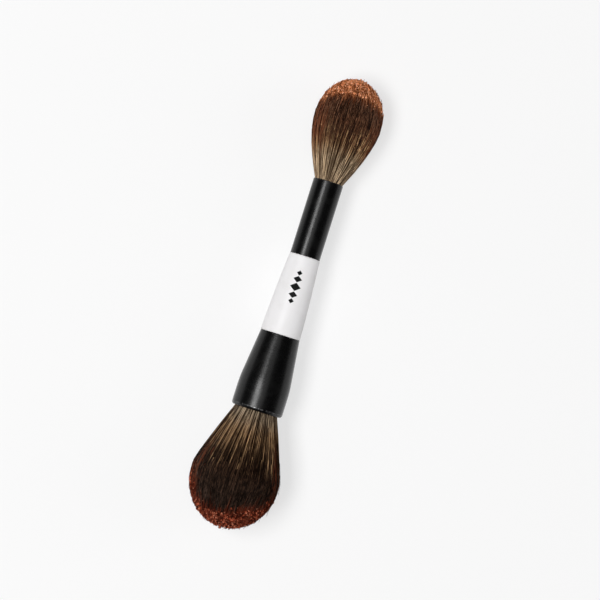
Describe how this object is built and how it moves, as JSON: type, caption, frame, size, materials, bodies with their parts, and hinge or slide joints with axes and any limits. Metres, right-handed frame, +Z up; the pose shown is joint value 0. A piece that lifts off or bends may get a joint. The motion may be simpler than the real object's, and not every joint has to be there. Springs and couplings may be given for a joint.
{
  "type": "double ended makeup brush",
  "caption": "Cosmetic brush with a tapered grip between a small rounded hair head on a tube ferrule and a large one on a flared ferrule.",
  "frame": {"origin": "on the surface that the brush rests on, under the middle of its length and width", "axes": "+X along the brush from the large head to the small head, +Z up; the brush's own axis leans about 2 degrees down towards +X"},
  "size_m": [0.1974, 0.038, 0.0368],
  "materials": {
    "grip": "satin white",
    "ferrule": "satin black lacquer on drawn aluminium",
    "cup": "bare, as drawn",
    "narrow_hair": "soft synthetic hair, lighter at the root, with powder on the tips",
    "wide_hair": "soft synthetic hair, lighter at the root, with powder on the tips",
    "resin": "set clear resin",
    "thread": "waxed thread"
  },
  "bodies": {
    "root": {"grip": "grip", "narrow_ferrule": "ferrule", "wide_ferrule": "ferrule", "wide_hair_cup": "cup", "narrow_hair": "narrow_hair", "wide_hair": "wide_hair", "narrow_glue_plug": "resin", "wide_glue_plug": "resin", "narrow_binding": "thread", "wide_binding": "thread", "narrow_joint_glue": "resin", "wide_joint_glue": "resin"}
  },
  "joints": []
}
